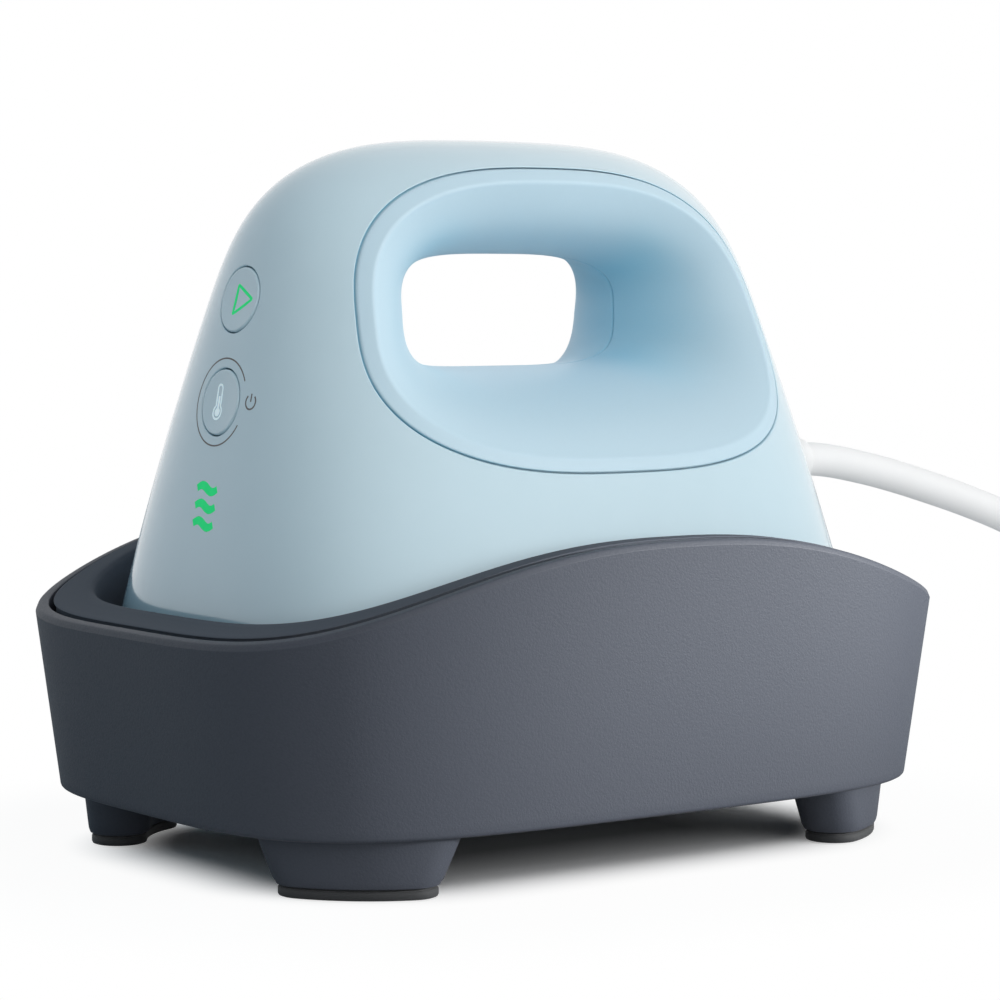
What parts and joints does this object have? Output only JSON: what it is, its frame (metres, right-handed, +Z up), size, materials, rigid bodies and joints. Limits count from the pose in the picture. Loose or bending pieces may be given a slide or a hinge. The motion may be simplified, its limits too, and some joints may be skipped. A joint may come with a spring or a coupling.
{
  "type": "cap heat press with safety base",
  "caption": "Hand-held heat press with a hollow hand hole, round push buttons and a curved heated sole, resting in a rimmed safety base on rubber-padded feet, with a coiled mains lead.",
  "frame": {"origin": "on the floor, under the middle of the safety base", "axes": "+Z up, -Y towards the side with the buttons, +Y towards the lead"},
  "size_m": [0.1508, 0.4425, 0.1472],
  "materials": {
    "blue_gloss_plastic": "glossy moulded",
    "blue_soft_touch": "matte soft-touch",
    "slate_grained_plastic": "fine moulded grain",
    "charcoal_plastic": "smooth satin",
    "pad_rubber": "matte",
    "red_silicone": "matte",
    "zinc_steel": "zinc plated",
    "grey_heat_plastic": "satin",
    "coated_plate": "non-stick coated",
    "element_steel": "drawn sheath",
    "ceramic_fibre": "felted fibre",
    "shield_aluminium": "mill finish",
    "sensor_brass": "plain",
    "ceramic_cream": "glazed",
    "grey_plastic": "moulded",
    "board_green": "solder mask",
    "relay_blue": "moulded",
    "tape_yellow": "taped",
    "sleeve_black": "moulded",
    "terminal_green": "moulded",
    "led_epoxy": "clear moulded",
    "green_light": "translucent, lit",
    "pale_light": "translucent, lit",
    "cord_white": "satin jacket",
    "wire_red": "extruded",
    "tie_black": "moulded",
    "blade_brass": "plain"
  },
  "bodies": {
    "base": {"base_shell": "slate_grained_plastic", "base_tray": "charcoal_plastic", "foot_pads": "pad_rubber", "rest_pads": "red_silicone", "tray_screws": "zinc_steel", "cord_coil": "cord_white", "coil_tie": "tie_black", "plug": "cord_white", "plug_blades": "blade_brass"},
    "press": {"outer_shell": "blue_gloss_plastic", "left_grip": "blue_soft_touch", "right_grip": "blue_soft_touch", "lower_skirt": "grey_heat_plastic", "housing_screws": "zinc_steel", "heat_plate": "coated_plate", "plate_nuts": "zinc_steel", "heating_element": "element_steel", "insulation_pad": "ceramic_fibre", "heat_shield": "shield_aluminium", "temperature_sensor": "sensor_brass", "thermal_fuse": "ceramic_cream", "board_carrier": "grey_plastic", "carrier_screws": "zinc_steel", "control_board": "board_green", "relay": "relay_blue", "transformer": "tape_yellow", "capacitors": "sleeve_black", "terminal_block": "terminal_green", "buzzer": "sleeve_black", "button_board": "board_green", "panel_screws": "zinc_steel", "tact_switches": "sleeve_black", "light_leds": "led_epoxy", "wave_lights": "green_light", "strain_relief": "cord_white", "cord_inner_end": "cord_white", "cord_clamp": "grey_plastic", "clamp_screws": "zinc_steel", "lead_wires": "wire_red", "power_cord": "cord_white"},
    "go_button": {"go_button": "blue_gloss_plastic", "go_lens": "green_light"},
    "temperature_button": {"temperature_button": "blue_gloss_plastic", "temperature_lens": "pale_light"}
  },
  "joints": [
    {"name": "press_lift", "type": "slide", "parent": "base", "child": "press", "axis": [0, 0, 1], "range_m": [0, 0.15]},
    {"name": "go_button_press", "type": "slide", "parent": "press", "child": "go_button", "axis": [0, 0.9725, -0.2329], "range_m": [0, 0.001], "stiffness_N_per_m": 900, "springref_m": -0.001},
    {"name": "temperature_button_press", "type": "slide", "parent": "press", "child": "temperature_button", "axis": [0, 0.9809, -0.1947], "range_m": [0, 0.001], "stiffness_N_per_m": 900, "springref_m": -0.001}
  ]
}
